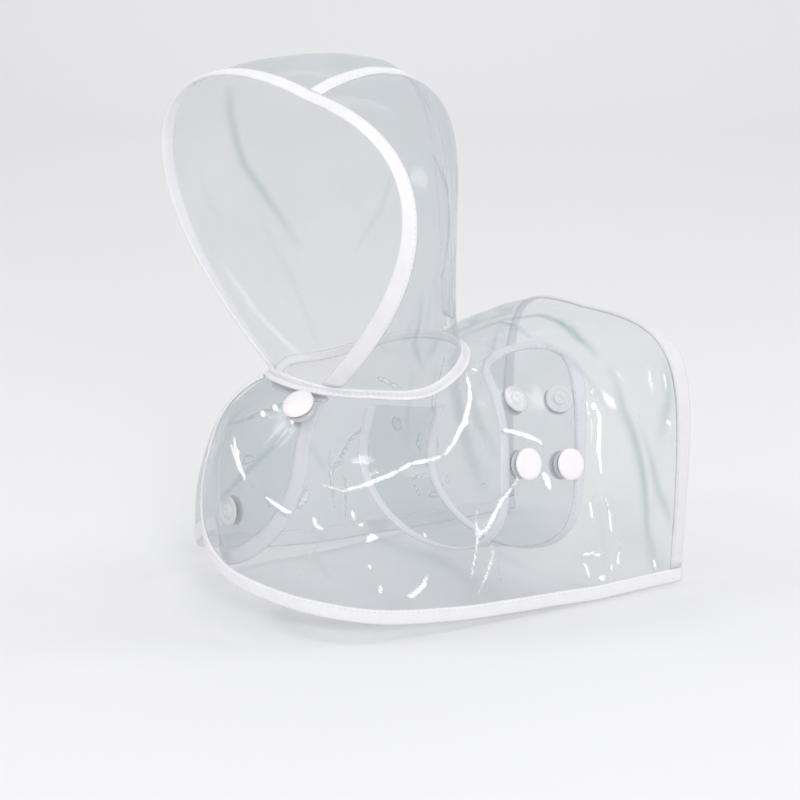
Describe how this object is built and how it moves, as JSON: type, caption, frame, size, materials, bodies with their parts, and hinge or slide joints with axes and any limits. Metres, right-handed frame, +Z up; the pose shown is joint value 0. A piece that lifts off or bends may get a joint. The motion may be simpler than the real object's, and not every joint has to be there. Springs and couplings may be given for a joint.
{
  "type": "dog raincoat",
  "caption": "Clear hooded raincoat for a small dog, with bound edges, an overlapping snapped front and a belly strap.",
  "frame": {"origin": "on the neck seam at the middle of the back, where the coat rests on its wearer", "axes": "-Y to the front of the coat, +X to its left, +Z up"},
  "size_m": [0.1583, 0.2183, 0.2551],
  "materials": {
    "film": "clear glossy plastic film",
    "binding": "white woven binding",
    "resin": "white resin, slightly glossy"
  },
  "bodies": {
    "root": {"cape": "film", "hood_left": "film", "hood_right": "film", "belly_strap": "film", "crown_tape": "binding", "face_tape": "binding", "neck_tape": "binding", "hem_tape_left": "binding", "hem_tape_right": "binding", "rear_tape": "binding", "strap_tape": "binding", "snap_chest_upper_cap": "resin", "snap_chest_upper_pair": "resin", "snap_chest_upper_back": "resin", "snap_strap_front_cap": "resin", "snap_strap_front_pair": "resin", "snap_strap_front_back": "resin", "snap_strap_rear_cap": "resin", "snap_strap_rear_pair": "resin", "snap_strap_rear_back": "resin", "snap_chest_lower_half": "resin", "snap_chest_lower_back": "resin", "snap_free_front_half": "resin", "snap_free_front_back": "resin", "snap_free_rear_half": "resin", "snap_free_rear_back": "resin"}
  },
  "joints": []
}
